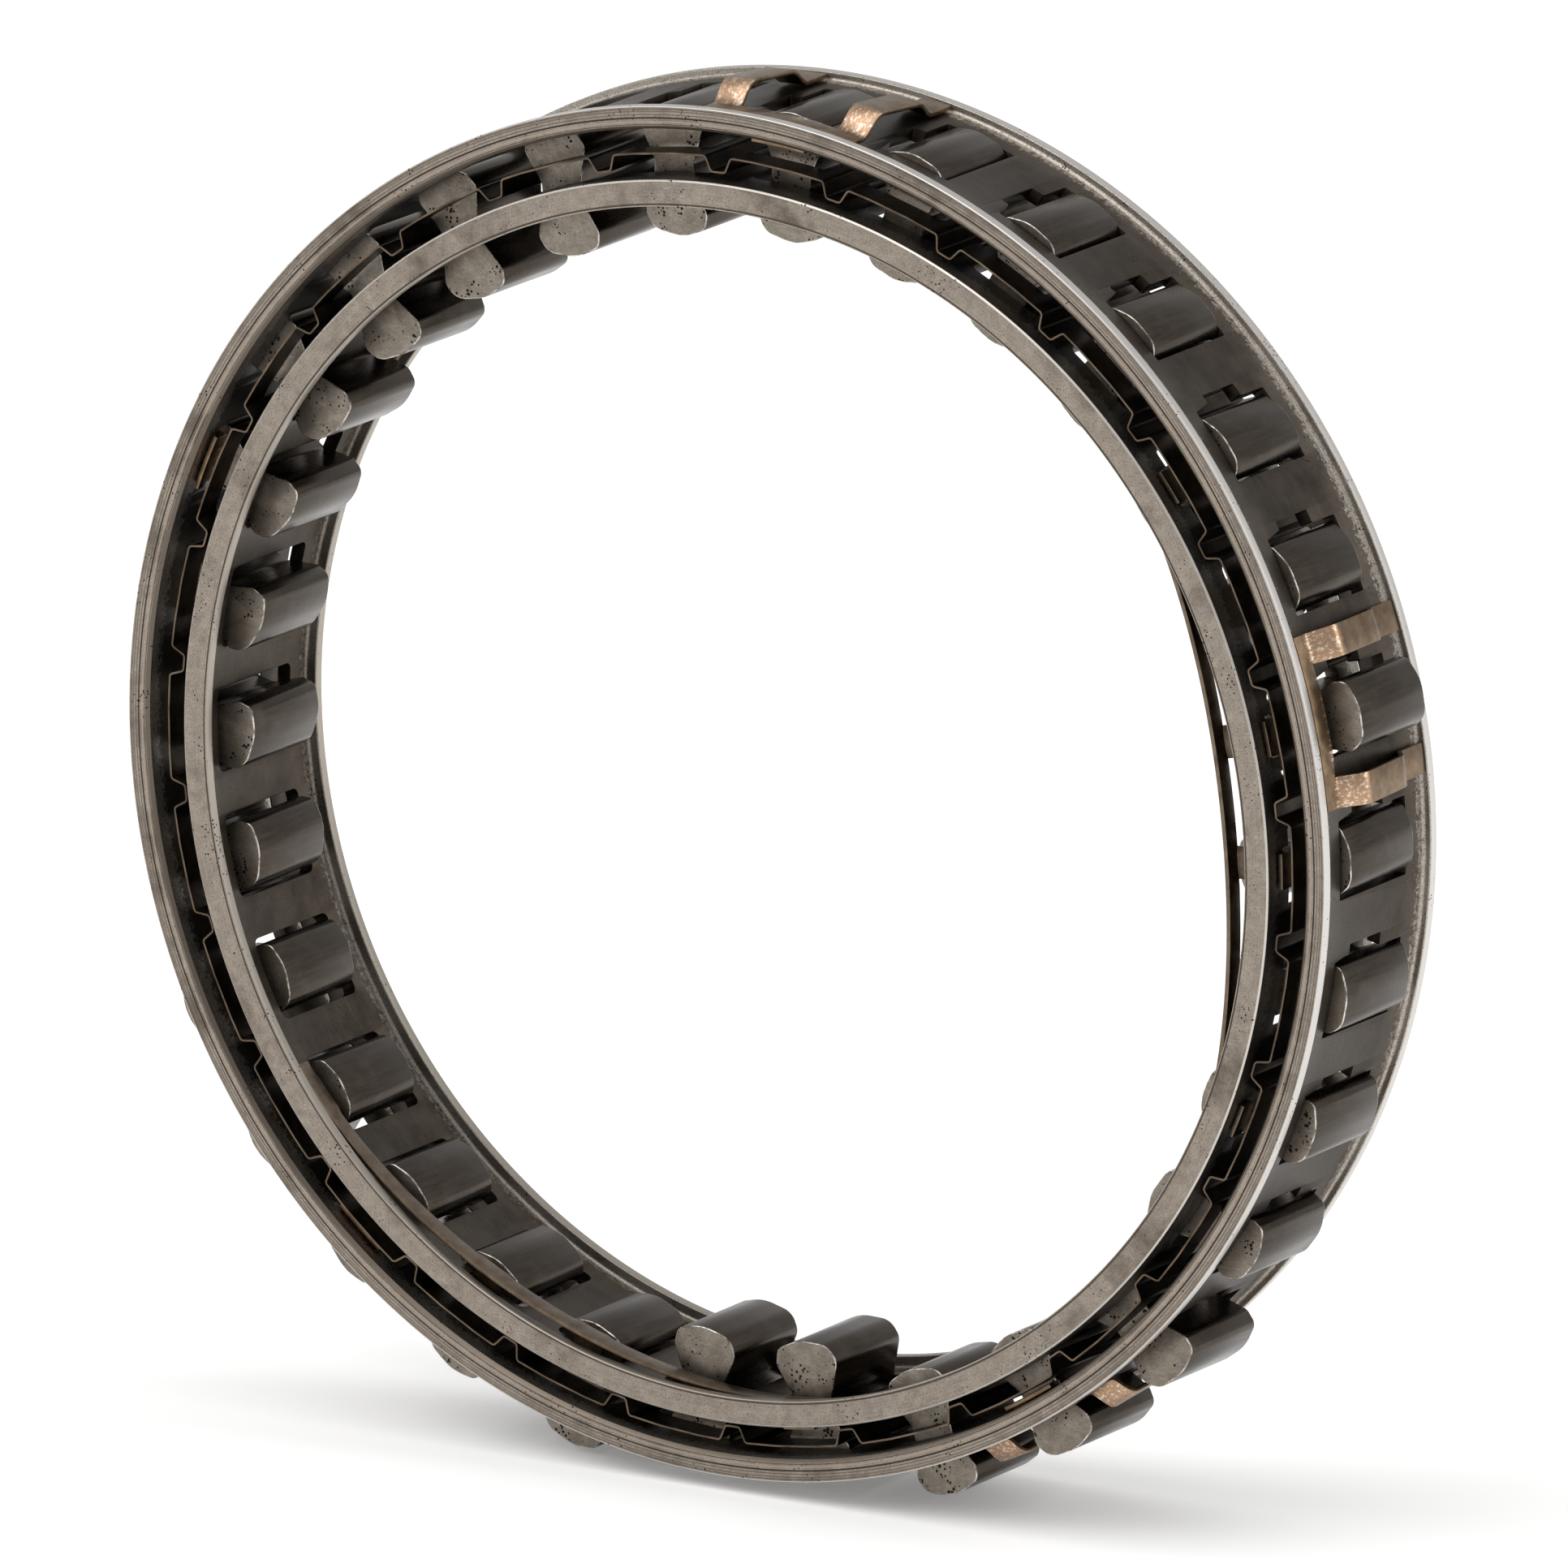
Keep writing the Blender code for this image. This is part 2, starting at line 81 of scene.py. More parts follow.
# Windows, as distances from the sprag's own centre line
OUTER_WINDOW_END = 4.7 * MM
OUTER_WINDOW_CW = 2.87 * MM
OUTER_WINDOW_CCW = 3.05 * MM
OUTER_WINDOW_CORNER = 0.15 * MM
NOTCH_DEPTH = 1.05 * MM
NOTCH_STEP = 0.35 * MM
NOTCH_NEAR_END = -2.75 * MM
NOTCH_FAR_END = 1.6 * MM
INNER_WINDOW_END = 5.0 * MM
INNER_WINDOW_HALF = 3.2 * MM
INNER_WINDOW_CORNER = 0.6 * MM
SLOT_END = 5.9 * MM
SLOT_CLEARANCE = 0.3 * MM
SLOT_CORNER = 0.2 * MM

# Ribbon spring
RIBBON_CHORD = 48.5 * MM
RIBBON_DIP = 47.35 * MM
RIBBON_THICK = 0.14 * MM
RIBBON_HALF_WIDTH = 7.5 * MM
RIBBON_WINDOW_HALF = 3.4 * MM
RIBBON_WINDOW_END = 5.2 * MM
RIBBON_WINDOW_CORNER = 0.5 * MM
RIBBON_SHIFT = Vector((0.1 * MM, 0, -0.5 * MM))
DIP_SHIFT = math.radians(-0.5)
DIP_HALF_TOP = 1.1 * MM
DIP_HALF_BOTTOM = 0.6 * MM
DIP_ROUND = 0.3 * MM
CHORD_ROUND = 2.0 * MM
CUT_EDGE_LEAN = 0.7

# Sprags
SPRAG_HALF_LENGTH = 4.45 * MM
SPRAG_MIDDLE = 47.2 * MM
SPRAG_PIVOT = 50.3 * MM
INNER_WEB_MIDDLE = (INNER_WEB_INSIDE + INNER_WEB_OUTSIDE) / 2
FULL_FLOAT = 2.25 * MM
SHIFT_SHARE = 0.6
# How far out the sprags have slid round the ring, as (angle in degrees, distance in mm)
FLOAT_STATIONS = (
    (0, -0.3),
    (84, -0.6),
    (112, -1.65),
    (122, -1.6),
    (158, 0.0),
    (182, 0.5),
    (205, 2.25),
    (313, 2.25),
    (326, 0.9),
    (348, 0.3),
)
# How far their inner heads have swung counter-clockwise besides, as (angle in degrees, lean in degrees)
LEAN_STATIONS = ((84, 0), (109, 7.5), (121, 8.5), (157, 4.4), (169, 3.8), (186, 0))
PROUD_SPRAG = 0
PROUD_FLOAT = 1.85 * MM
SUPPORTED_FLOAT = -0.6 * MM
SUPPORT_ANGLE = math.radians(271.0)
SUPPORT_REACH = math.radians(9.0)
# Half of the profile as corners (counter-clockwise side, outward, fillet), in mm. The other half is
# the same, turned by 180 degrees.
HALF_PROFILE = (
    (1.65, 0.7, 0.9),
    (2.75, 3.1, 0.8),
    (2.55, 4.3, 0.8),
    (0.6, 4.95, 3.5),
    (-1.95, 4.5, 1.5),
    (-2.6, 3.2, 1.0),
    (-1.75, 0.6, 0.9),
)
FILLET_STEPS = 10
SPRAG_END_BEVEL = 0.08 * MM
# How far a face's normal leans to the sprag's end: less is a flank, more is an end face
FLANK_LEAN = 0.1
END_LEAN = 0.99

# Bronze drag springs
BRONZE_SHEET = 0.35 * MM
BRONZE_BEVEL = 0.05 * MM
BRONZE_GAP = 0.2 * MM
RAIL_OUTER_EDGE = 6.9 * MM
RAIL_INNER_EDGE = 5.42 * MM
TAB_TIP = 6.65 * MM
CLIP_EVERY = 6
CLIP_COUNT = 5
BAR_INNER_EDGE = 4.2 * MM
BAR_OUTER_EDGE = 6.5 * MM
HUMP_HEIGHT = 1.6 * MM
# The hump as (distance from the near rail in mm, share of its height), softened over a distance in mm
HUMP_STATIONS = ((0.35, 0.0), (1.6, 0.93), (2.1, 1.0), (7.8, 0.75), (9.3, 0.0))
HUMP_SOFTNESS = 0.35
HUMP_SAMPLES = 9
BAR_STEPS = 45
CLIP_TAB_HALF = 2.35 * MM
STRIP_CENTRES = (math.radians(7.2), math.radians(247.2))
STRIP_HALF_ANGLE = math.radians(33.6)
# How far each strip bows, and the exponent of the bow: the smaller it is, the fuller the bow
STRIP_BOWS = ((2.8 * MM, 0.5), (1.3 * MM, 0.7))
STRIP_STEP = math.radians(0.8)
STRIP_TAB_PITCHES = (-2.5, -0.5, 0.5, 2.5)
STRIP_TAB_HALF = 1.3 * MM

# Camera
VIEW_AZIMUTH = math.radians(31.74)
VIEW_ELEVATION = math.radians(14.10)
VIEW_ROLL = math.radians(-0.03)
VIEW_DISTANCE = 2.5
VIEW_LENS = 780.7
VIEW_SHIFT = (0.004037, -0.006263)

# Floor and light
FLOOR_GAP = 0.5 * MM
FLOOR_SIDE = 60.0
FLOOR_COLOUR = (0.93, 0.93, 0.925, 1.0)
FLOOR_GLOW = 0.2
SKY_STRENGTH = 0.6
# Softboxes as (name, azimuth, elevation, distance, width, height, brightness), in degrees and metres
SOFTBOXES = (
    ("key_light", -25, 48, 1.6, 1.1, 0.9, 2.4),
    ("top_light", 60, 80, 1.5, 1.4, 1.0, 1.3),
    ("side_light", 115, 25, 1.5, 0.5, 1.3, 2.4),
    ("left_light", -80, 20, 1.5, 0.4, 1.2, 2.0),
)


# ---------------------------------------------------------------- places on the ring


def window_angle(index):
    return WINDOW_ZERO + index * PITCH


def window_angles():
    return [window_angle(index) for index in range(SPRAG_COUNT)]


def clip_angles():
    return [window_angle(CLIP_EVERY * number) for number in range(CLIP_COUNT)]


def outward(angle):
    return Vector((math.cos(angle), 0, math.sin(angle)))


def on_ring(radius, angle, y):
    return outward(angle) * radius + Vector((0, y, 0))


def ring_turn(angle):
    """Rotation that takes X to the counter-clockwise direction at the angle, keeps Y and takes Z inwards."""
    out = outward(angle)
    side = Vector((-out.z, 0, out.x))
    return Matrix((side, (0, 1, 0), -out)).transposed().to_4x4()


# ---------------------------------------------------------------- meshes


def rounded(corners, steps):
    """The outline through corners (x, y, radius), each rounded by an arc of the given number of steps."""
    outline = []
    count = len(corners)
    for index in range(count):
        corner = Vector(corners[index][:2])
        before = (Vector(corners[index - 1][:2]) - corner).normalized()
        after = (Vector(corners[(index + 1) % count][:2]) - corner).normalized()
        half_angle = before.angle(after) / 2
        reach = corners[index][2] / math.tan(half_angle)
        centre = corner + (before + after).normalized() * corners[index][2] / math.sin(half_angle)
        start = corner + before * reach - centre
        turn = start.angle_signed(corner + after * reach - centre)
        for step in range(steps + 1):
            outline.append(centre + Matrix.Rotation(-turn * step / steps, 2) @ start)
    return outline


def mesh_from(bm, name):
    mesh = bpy.data.meshes.new(name)
    bm.to_mesh(mesh)
    bm.free()
    return mesh


def add_object(name, data, location=(0, 0, 0)):
    obj = bpy.data.objects.new(name, data)
    obj.location = location
    bpy.context.scene.collection.objects.link(obj)
    return obj


def settled(obj, *helpers):
    """Applies the object's modifiers to its mesh and removes the helpers that they used."""
    graph = bpy.context.evaluated_depsgraph_get()
    mesh = bpy.data.meshes.new_from_object(obj.evaluated_get(graph))
    obj.modifiers.clear()
    obj.data = mesh
    for helper in helpers:
        bpy.data.objects.remove(helper, do_unlink=True)


def plate_mesh(name, outline, half_thickness):
    """A flat outline in the XY plane, extruded along Z by half_thickness each way."""
    curve = bpy.data.curves.new(name, "CURVE")
    curve.dimensions = "2D"
    curve.fill_mode = "BOTH"
    curve.extrude = half_thickness
    spline = curve.splines.new("POLY")
    spline.points.add(len(outline) - 1)
    for point, (x, y) in zip(spline.points, outline):
        point.co = (x, y, 0, 1)
    spline.use_cyclic_u = True
    obj = add_object(name, curve)
    graph = bpy.context.evaluated_depsgraph_get()
    bm = bmesh.new()
    bm.from_mesh(bpy.data.meshes.new_from_object(obj.evaluated_get(graph)))
    bpy.data.objects.remove(obj, do_unlink=True)
    bmesh.ops.remove_doubles(bm, verts=bm.verts, dist=WELD_DISTANCE)
    bmesh.ops.dissolve_limit(bm, angle_limit=FLAT_ANGLE, verts=bm.verts, edges=bm.edges)
    bmesh.ops.recalc_face_normals(bm, faces=bm.faces)
    return mesh_from(bm, name)


def placed_copies(name, plate, places):
    """One mesh that holds a copy of the plate at each place, a 4x4 matrix."""
    bm = bmesh.new()
    for place in places:
        bm.from_mesh(plate)
        bmesh.ops.transform(bm, matrix=place, verts=bm.verts[-len(plate.vertices):])
    return mesh_from(bm, name)


def add_cutter(name, outline, angles, low, high, location=(0, 0, 0)):
    """Radial prisms through a web at each angle, from radius low to high. The outline is (sideways, y)."""
    plate = plate_mesh(name, outline, (high - low) / 2)
    middle = Matrix.Translation((0, 0, -(low + high) / 2))
    places = [ring_turn(angle) @ middle for angle in angles]
    return add_object(name, placed_copies(name, plate, places), location)


def cut(obj, cutter):
    boolean = obj.modifiers.new(cutter.name, "BOOLEAN")
    boolean.solver = "EXACT"
    boolean.object = cutter


def soften(obj, width, segments=2):
    """Rounds the sharp edges a little, so that they catch the light."""
    bevel = obj.modifiers.new("edges", "BEVEL")
    bevel.width = width
    bevel.segments = segments
    bevel.limit_method = "ANGLE"
    bevel.angle_limit = BEVEL_ANGLE
    bevel.use_clamp_overlap = True


def thicken(obj, thickness):
    solidify = obj.modifiers.new("sheet", "SOLIDIFY")
    solidify.thickness = thickness
    solidify.offset = 0
    solidify.use_even_offset = True


def smooth(obj):
    obj.data.shade_smooth()
    obj.data.set_sharp_from_angle(angle=SHARP_ANGLE)


def rectangle(half_x, low_y, high_y, corner):
    corners = [(-half_x, low_y), (-half_x, high_y), (half_x, high_y), (half_x, low_y)]
    return rounded([(x, y, corner) for x, y in corners], CORNER_STEPS)


def ring_run(bm, radii, angles, y):
    """An open wire through a radius at each angle. Returns its edges."""
    verts = [bm.verts.new(on_ring(radius, angle, y)) for radius, angle in zip(radii, angles)]
    return [bm.edges.new(pair) for pair in zip(verts, verts[1:])]


def extrude(bm, run, move):
    """Extrudes a run of edges and moves the new points by the function. Returns the new run."""
    made = bmesh.ops.extrude_edge_only(bm, edges=run)["geom"]
    verts = {part for part in made if isinstance(part, bmesh.types.BMVert)}
    for vert in verts:
        vert.co = move(vert.co)
    return [edge for edge in bm.edges if verts.issuperset(edge.verts)]


def shift_y(distance):
    return lambda place: place + Vector((0, distance, 0))


def bring_to(radius, y):
    """Moves a point to another radius and y at the same angle."""
    return lambda place: Vector((place.x, 0, place.z)).normalized() * radius + Vector((0, y, 0))


def near_angle(run, angle, low, high):
    """The edges of the run whose middle lies between low and high from the angle, along the ring."""
    side = ring_turn(angle).col[0].to_3d()
    middles = [(edge.verts[0].co + edge.verts[1].co) / 2 for edge in run]
    return [edge for edge, middle in zip(run, middles) if low < abs(middle.dot(side)) < high]


def sheet_from(bm, name):
    bmesh.ops.remove_doubles(bm, verts=bm.verts, dist=WELD_DISTANCE)
    bmesh.ops.recalc_face_normals(bm, faces=bm.faces)
    return mesh_from(bm, name)


# ---------------------------------------------------------------- node graphs


class Graph:
    """A material's node tree, with short ways to add the nodes that the finishes share."""

    def __init__(self, name):
        self.material = bpy.data.materials.new(name)
        self.material.use_nodes = True
        self.tree = self.material.node_tree
        self.shader = self.tree.nodes["Principled BSDF"]
        self.place = self.tree.nodes.new("ShaderNodeTexCoord").outputs["Object"]
        self.in_mm = self.vector("SCALE", self.place, scale=1 / MM)

    def node(self, kind, inputs, **settings):
        node = self.tree.nodes.new(kind)
        for key, value in settings.items():
            setattr(node, key, value)
        for key, value in inputs.items():
            self.feed(node.inputs[key], value)
        return node

    def feed(self, socket, value):
        if isinstance(value, bpy.types.NodeSocket):
            self.tree.links.new(value, socket)
        else:
            socket.default_value = value

    def vector(self, operation, first, second=None, scale=None):
        node = self.tree.nodes.new("ShaderNodeVectorMath")
        node.operation = operation
        self.feed(node.inputs[0], first)
        if second is not None:
            self.feed(node.inputs[1], second)
        if scale is not None:
            node.inputs["Scale"].default_value = scale
        return node.outputs["Vector"]

    def math(self, operation, first, second=0.0):
        node = self.tree.nodes.new("ShaderNodeMath")
        node.operation = operation
        self.feed(node.inputs[0], first)
        self.feed(node.inputs[1], second)
        return node.outputs["Value"]

    def axes(self):
        """The point's x, y and z in millimetres."""
        return self.node("ShaderNodeSeparateXYZ", {0: self.in_mm}).outputs

    def radius(self):
        x, _, z = self.axes()
        squares = self.math("ADD", self.math("MULTIPLY", x, x), self.math("MULTIPLY", z, z))
        return self.math("SQRT", squares)

    def ring_place(self, across, along):
        """Coordinates that follow the ring: radius and width times across, arc length times along."""
        x, y, z = self.axes()
        radius = self.radius()
        turn = self.math("MULTIPLY", self.math("ARCTAN2", z, x), MIDDLE_RADIUS_MM * along)
        inputs = {0: self.math("MULTIPLY", radius, across), 1: self.math("MULTIPLY", y, across), 2: turn}
        return self.node("ShaderNodeCombineXYZ", inputs).outputs[0]

    def noise(self, scale, detail=4.0, roughness=0.55, where=None, stretch=None):
        place = self.in_mm if where is None else where
        if stretch is not None:
            place = self.vector("MULTIPLY", place, stretch)
        inputs = {"Vector": place, "Scale": scale, "Detail": detail, "Roughness": roughness}
        return self.node("ShaderNodeTexNoise", inputs).outputs["Fac"]

    def cells(self, scale):
        inputs = {"Vector": self.in_mm, "Scale": scale}
        return self.node("ShaderNodeTexVoronoi", inputs).outputs["Distance"]

    def spread(self, value, low, high, to_low=0.0, to_high=1.0):
        """Maps low..high to to_low..to_high, held at both ends."""
        inputs = {"Value": value, 1: low, 2: high, 3: to_low, 4: to_high}
        return self.node("ShaderNodeMapRange", inputs).outputs["Result"]

    def between(self, value, low, high, soft):
        """1 where the value lies from low to high, fading out over soft at both ends."""
        rise = self.spread(value, low - soft, low)
        fall = self.spread(value, high, high + soft, 1.0, 0.0)
        return self.math("MULTIPLY", rise, fall)

    def mix(self, share, first, second):
        node = self.tree.nodes.new("ShaderNodeMix")
        node.data_type = "RGBA"
        for socket, value in zip((node.inputs[0], node.inputs[6], node.inputs[7]), (share, first, second)):
            self.feed(socket, value)
        return node.outputs[2]

    def bump(self, height, strength, distance, below=None):
        inputs = {"Height": height, "Strength": strength, "Distance": distance}
        if below is not None:
            inputs["Normal"] = below
        return self.node("ShaderNodeBump", inputs).outputs["Normal"]

    def finish(self, colour, roughness, normal):
        self.shader.inputs["Metallic"].default_value = 1.0
        self.feed(self.shader.inputs["Base Color"], colour)
        self.feed(self.shader.inputs["Roughness"], roughness)
        self.feed(self.shader.inputs["Normal"], normal)
        return self.material


def rgb(red, green, blue):
    return (red, green, blue, 1.0)


def pits(graph, scale, size, patch_scale):
    """Small black pits that gather in patches: 1 in a pit."""
    patches = graph.spread(graph.noise(patch_scale, 3.0), 0.45, 0.68)
    limit = graph.math("MULTIPLY", patches, size)
    return graph.math("LESS_THAN", graph.cells(scale), limit)


def rim_steel(name, bands):
    """Turned rim: streaks round the ring, stains, pits, and bands at the radii (low, high, soft, colour)."""
    graph = Graph(name)
    streaks = graph.noise(1.0, 5.0, 0.65, graph.ring_place(9.0, 0.12))
    lines = graph.noise(1.0, 3.0, 0.6, graph.ring_place(26.0, 0.05))
    grain = graph.noise(7.0, 5.0, 0.7)
    stains = graph.spread(graph.noise(0.16, 5.0, 0.65), 0.52, 0.68)
    mottle = graph.noise(1.1, 5.0, 0.7)
    colour = graph.mix(graph.spread(streaks, 0.3, 0.7), rgb(0.215, 0.18, 0.148), rgb(0.34, 0.292, 0.245))
    colour = graph.mix(graph.spread(mottle, 0.42, 0.7, 0.0, 0.7), colour, rgb(0.4, 0.35, 0.295))
    colour = graph.mix(graph.spread(grain, 0.5, 0.62, 0.0, 0.6), colour, rgb(0.12, 0.098, 0.079))
    colour = graph.mix(graph.math("MULTIPLY", stains, 0.75), colour, rgb(0.085, 0.07, 0.057))
    radius = graph.radius()
    for low, high, soft, tint in bands:
        colour = graph.mix(graph.between(radius, low, high, soft), colour, tint)
    pitted = pits(graph, 2.9, 0.24, 0.35)
    colour = graph.mix(pitted, colour, rgb(0.03, 0.024, 0.018))
    roughness = graph.spread(graph.math("ADD", streaks, grain), 0.7, 1.3, 0.3, 0.46)
    normal = graph.bump(lines, 0.35, 0.012 * MM)
    normal = graph.bump(grain, 0.25, 0.02 * MM, normal)
    normal = graph.bump(graph.math("SUBTRACT", 1.0, pitted), 0.6, 0.03 * MM, normal)
    return graph.finish(colour, roughness, normal)


def web_steel(name, dark, light, burnish):
    """Dark blackened web, lightly scratched, lighter towards the folds and rubbed bright at them, with a
    ragged edge.
    """
    graph = Graph(name)
    cloud = graph.noise(0.35, 5.0, 0.6)
    grain = graph.noise(9.0, 4.0, 0.7)
    streaks = graph.noise(1.0, 5.0, 0.7, graph.ring_place(5.0, 0.25))
    scratches = graph.spread(graph.noise(1.0, 2.0, 0.5, graph.ring_place(14.0, 0.3)), 0.66, 0.72)
    colour = graph.mix(graph.spread(cloud, 0.35, 0.68), dark, light)
    colour = graph.mix(graph.spread(grain, 0.5, 0.8, 0.0, 0.4), colour, rgb(0.022, 0.018, 0.015))
    colour = graph.mix(graph.math("MULTIPLY", scratches, 0.2), colour, rgb(0.26, 0.225, 0.19))
    across = graph.math("ABSOLUTE", graph.axes()[1])
    # lighter towards both folds, by distance from the middle of the web
    lighter_near_folds = graph.math("MULTIPLY", graph.spread(across, 4.0, 6.6, 0.0, 0.8 * burnish), cloud)
    colour = graph.mix(lighter_near_folds, colour, rgb(0.2, 0.175, 0.15))
    rags = graph.noise(2.6, 6.0, 0.8)
    ragged = graph.math("ADD", across, graph.spread(rags, 0.3, 0.7, -0.8, 0.8))
    rubbed = graph.spread(ragged, 6.3, 6.8, 0.0, burnish)
    speckle = graph.spread(grain, 0.38, 0.55, 0.3, 1.0)
    colour = graph.mix(graph.math("MULTIPLY", rubbed, speckle), colour, rgb(0.62, 0.565, 0.5))
    pitted = pits(graph, 3.4, 0.24, 0.5)
    colour = graph.mix(pitted, colour, rgb(0.012, 0.01, 0.008))
    roughness = graph.spread(graph.math("ADD", cloud, grain), 0.7, 1.3, 0.33, 0.5)
    normal = graph.bump(grain, 0.2, 0.015 * MM)
    normal = graph.bump(streaks, 0.25, 0.02 * MM, normal)
    normal = graph.bump(graph.math("SUBTRACT", 1.0, pitted), 0.5, 0.03 * MM, normal)
    return graph.finish(colour, roughness, normal)


def sprag_side_steel():
    """Hardened and polished flanks: dark, smooth, with faint marks along the sprag."""
    graph = Graph("sprag_side_steel")
    streaks = graph.noise(3.2, 4.0, 0.6, stretch=(1.0, 0.08, 1.0))
    cloud = graph.noise(0.5, 3.0)
    grain = graph.noise(14.0, 3.0, 0.6)
    colour = graph.mix(graph.spread(streaks, 0.3, 0.75), rgb(0.05, 0.04, 0.031), rgb(0.074, 0.06, 0.048))
    colour = graph.mix(graph.spread(cloud, 0.5, 0.72, 0.0, 0.5), colour, rgb(0.094, 0.077, 0.062))
    pitted = pits(graph, 3.0, 0.17, 0.45)
    colour = graph.mix(pitted, colour, rgb(0.012, 0.01, 0.008))
    roughness = graph.spread(graph.math("ADD", streaks, grain), 0.7, 1.3, 0.2, 0.32)
    normal = graph.bump(streaks, 0.05, 0.015 * MM)
    normal = graph.bump(grain, 0.06, 0.01 * MM, normal)
    return graph.finish(colour, roughness, normal)


def sprag_end_steel():
    """Cropped end faces: pale tan-grey, grained and pitted."""
    graph = Graph("sprag_end_steel")
    cloud = graph.noise(0.7, 4.0, 0.6)
    grain = graph.noise(8.0, 5.0, 0.7)
    fine = graph.noise(3.0, 4.0, 0.6, stretch=(0.4, 1.0, 1.6))
    colour = graph.mix(graph.spread(cloud, 0.35, 0.68), rgb(0.19, 0.163, 0.134), rgb(0.3, 0.262, 0.218))
    colour = graph.mix(graph.spread(grain, 0.45, 0.75, 0.0, 0.6), colour, rgb(0.11, 0.092, 0.074))
    colour = graph.mix(graph.spread(fine, 0.55, 0.75, 0.0, 0.5), colour, rgb(0.4, 0.35, 0.292))
    pitted = pits(graph, 3.0, 0.42, 0.6)
    colour = graph.mix(pitted, colour, rgb(0.02, 0.017, 0.014))
    roughness = graph.spread(grain, 0.3, 0.7, 0.34, 0.5)
    normal = graph.bump(grain, 0.35, 0.02 * MM)
    normal = graph.bump(graph.math("SUBTRACT", 1.0, pitted), 0.7, 0.04 * MM, normal)
    return graph.finish(colour, roughness, normal)


def sprag_edge_highlight():
    """The rim of an end face, with a painted highlight that is bright in places."""
    graph = Graph("sprag_edge_highlight")
    wear_and_highlight = graph.spread(graph.noise(1.2, 4.0, 0.7), 0.4, 0.62)
    # painted highlight: the bevel faces blend from dark steel to near white in patches
    colour = graph.mix(wear_and_highlight, rgb(0.16, 0.138, 0.115), rgb(0.72, 0.68, 0.63))
    grain = graph.noise(9.0, 3.0, 0.6)
    roughness = graph.spread(grain, 0.3, 0.7, 0.2, 0.34)
    return graph.finish(colour, roughness, graph.bump(grain, 0.1, 0.01 * MM))


def bronze(name, dark, light, wear_and_highlight=None):
    """Bronze sheet: tarnished brown. If the fourth argument gives two depths, it is scratched bright between
    them.
    """
    graph = Graph(name)
    cloud = graph.noise(0.9, 4.0, 0.6)
    grain = graph.noise(9.0, 4.0, 0.65)
    scratches = graph.noise(4.0, 5.0, 0.8, stretch=(1.0, 0.12, 1.0))
    colour = graph.mix(graph.spread(cloud, 0.35, 0.68), dark, light)
    if wear_and_highlight is not None:
        depth = graph.math("ADD", graph.axes()[1], graph.spread(scratches, 0.25, 0.75, -0.5, 0.5))
        patch = graph.between(depth, *wear_and_highlight, 0.5)
        colour = graph.mix(patch, colour, rgb(0.42, 0.265, 0.165))
        ragged = graph.math("MULTIPLY", graph.spread(scratches, 0.52, 0.62), patch)
        colour = graph.mix(ragged, colour, rgb(0.9, 0.76, 0.62))
    dark_lines = graph.spread(scratches, 0.2, 0.36, 0.55, 0.0)
    colour = graph.mix(dark_lines, colour, rgb(0.07, 0.04, 0.022))
    roughness = graph.spread(scratches, 0.3, 0.7, 0.4, 0.26)
    normal = graph.bump(scratches, 0.4, 0.02 * MM)
    normal = graph.bump(grain, 0.2, 0.01 * MM, normal)
    return graph.finish(colour, roughness, normal)


def ribbon_steel(name, dark, light):
    """Tempered spring steel with a clouded oxide skin."""
    graph = Graph(name)
    cloud = graph.noise(0.5, 4.0, 0.6)
    grain = graph.noise(8.0, 4.0, 0.6)
    colour = graph.mix(graph.spread(cloud, 0.35, 0.66), dark, light)
    colour = graph.mix(graph.spread(grain, 0.5, 0.8, 0.0, 0.5), colour, dark)
    roughness = graph.spread(grain, 0.3, 0.7, 0.28, 0.42)
    normal = graph.bump(grain, 0.2, 0.01 * MM)
    return graph.finish(colour, roughness, normal)


# ---------------------------------------------------------------- finishes of the pieces


def outer_rim():
    """The outer cage's flanges: a dark inner chamfer, fine turned lines and a painted highlight along the
    outer edge.
    """
    bands = (
        (49.8, 50.13, 0.03, rgb(0.15, 0.125, 0.1)),
        (50.2, 50.24, 0.02, rgb(0.07, 0.055, 0.042)),
        (50.4, 50.46, 0.03, rgb(0.36, 0.29, 0.235)),
        (50.67, 50.76, 0.02, rgb(0.06, 0.05, 0.04)),
        (50.94, 50.98, 0.02, rgb(0.12, 0.098, 0.078)),
        (51.18, 51.24, 0.02, rgb(0.16, 0.13, 0.105)),
        (51.36, 51.4, 0.02, rgb(0.1, 0.083, 0.067)),
        # painted highlight: a near-white band over the rounded outer edge of the flange
        (51.53, 51.7, 0.02, rgb(0.66, 0.63, 0.6)),
    )
    return rim_steel("outer_rim_steel", bands)


def inner_rim():
    """The inner cage's flanges: a paler bore edge, a dark groove and a painted highlight along the outer
    edge.
    """
    bands = (
        (44.7, 44.85, 0.03, rgb(0.4, 0.36, 0.31)),
        (44.93, 45.02, 0.02, rgb(0.1, 0.083, 0.067)),
        # painted highlight: a near-white band over the bevelled outer edge
        (46.68, 46.9, 0.03, rgb(0.62, 0.58, 0.53)),
    )
    return rim_steel("inner_rim_steel", bands)


def outer_web():
    return web_steel("outer_web_steel", rgb(0.042, 0.034, 0.026), rgb(0.078, 0.063, 0.05), 0.8)


def inner_web():
    return web_steel("inner_web_steel", rgb(0.045, 0.036, 0.027), rgb(0.084, 0.068, 0.053), 0.4)


def ribbon_skin():
    return ribbon_steel("ribbon_skin", rgb(0.03, 0.024, 0.019), rgb(0.085, 0.066, 0.05))


def ribbon_edge():
    return ribbon_steel("ribbon_edge", rgb(0.075, 0.055, 0.039), rgb(0.18, 0.134, 0.095))


